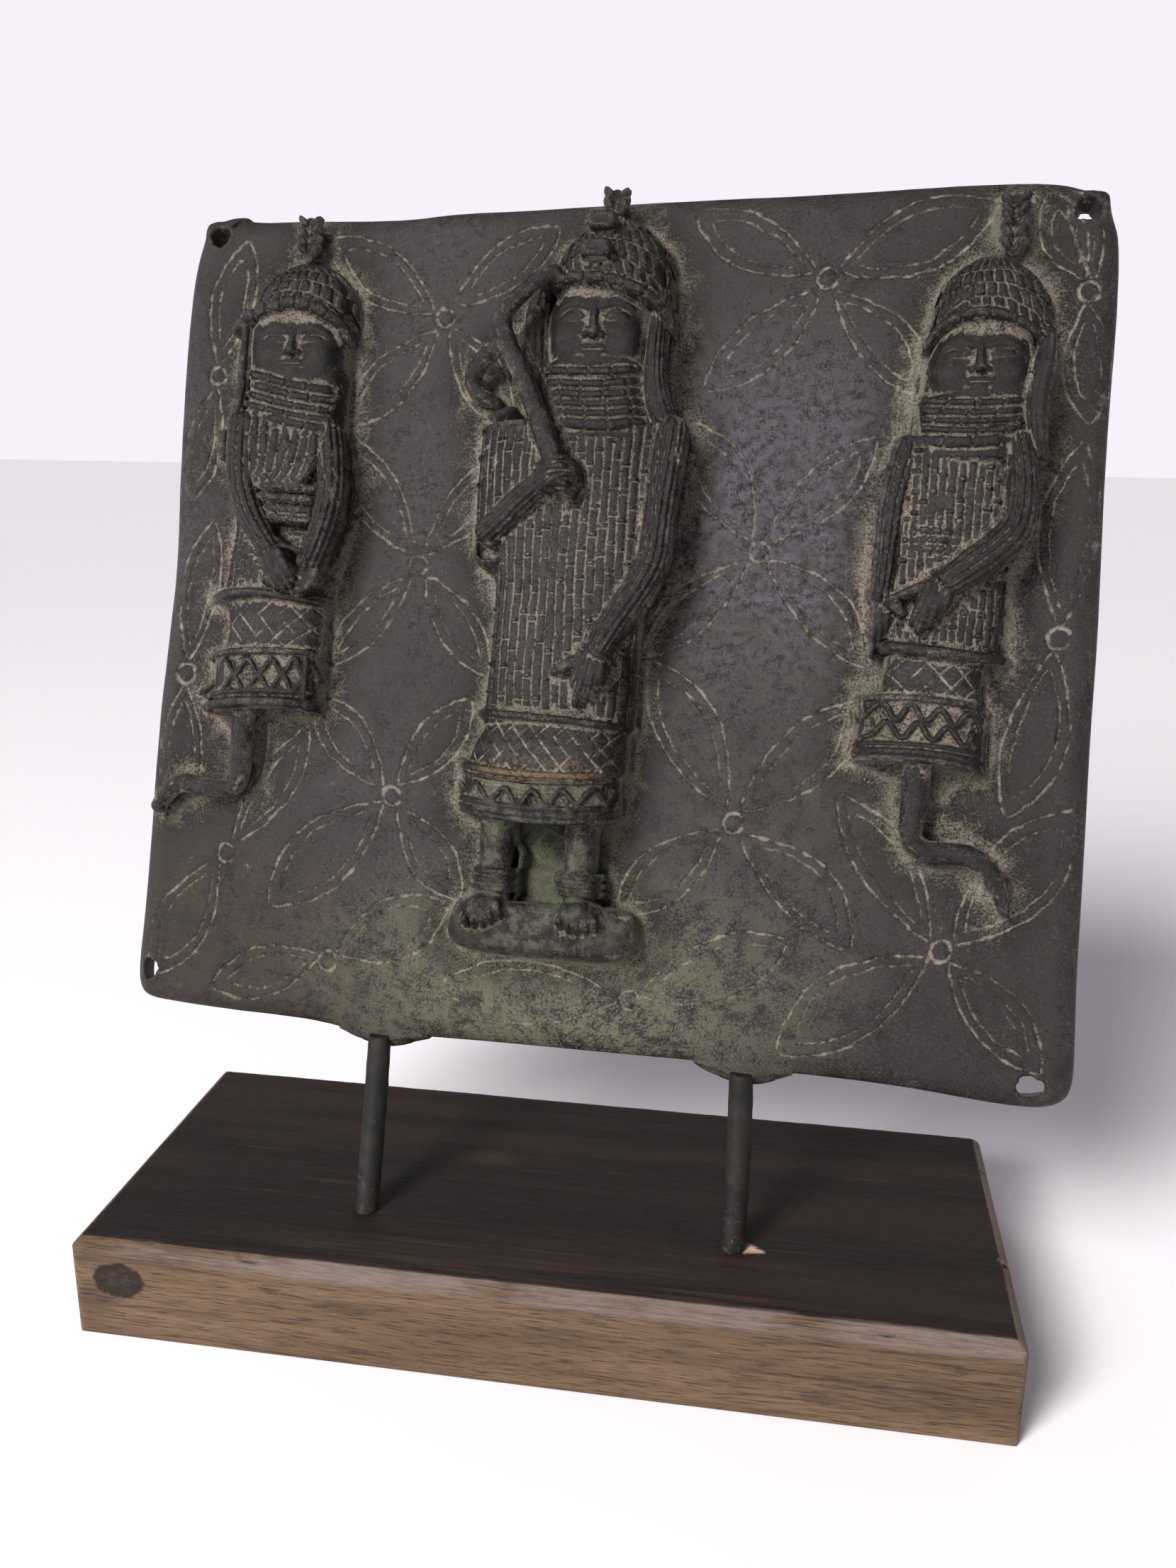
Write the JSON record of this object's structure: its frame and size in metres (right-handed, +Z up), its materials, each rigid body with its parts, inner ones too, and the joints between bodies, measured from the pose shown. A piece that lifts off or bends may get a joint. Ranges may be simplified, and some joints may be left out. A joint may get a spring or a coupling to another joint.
{
  "type": "relief plaque on a stand",
  "caption": "Square cast bronze plaque with three robed figures in high relief over engraved four-petal flowers, leaning back on two iron rods set in a dark wooden block.",
  "frame": {"origin": "centre of the wooden block's underside, which rests on the surface", "axes": "+Z up; the front of the plaque faces -Y and leans back towards +Y; +X to the viewer's right"},
  "size_m": [0.3466, 0.1618, 0.3938],
  "materials": {
    "bronze": "dark brown-black patinated cast bronze, dusty olive patina in the recesses, a few worn bright edges",
    "rod_iron": "blackened iron rod, dull",
    "stained_wood": "open-grained hardwood, top stained nearly black with reddish streaks, front face worn to mid brown"
  },
  "bodies": {
    "root": {"plaque": "bronze", "rod_left": "rod_iron", "rod_right": "rod_iron", "base": "stained_wood"}
  },
  "joints": []
}
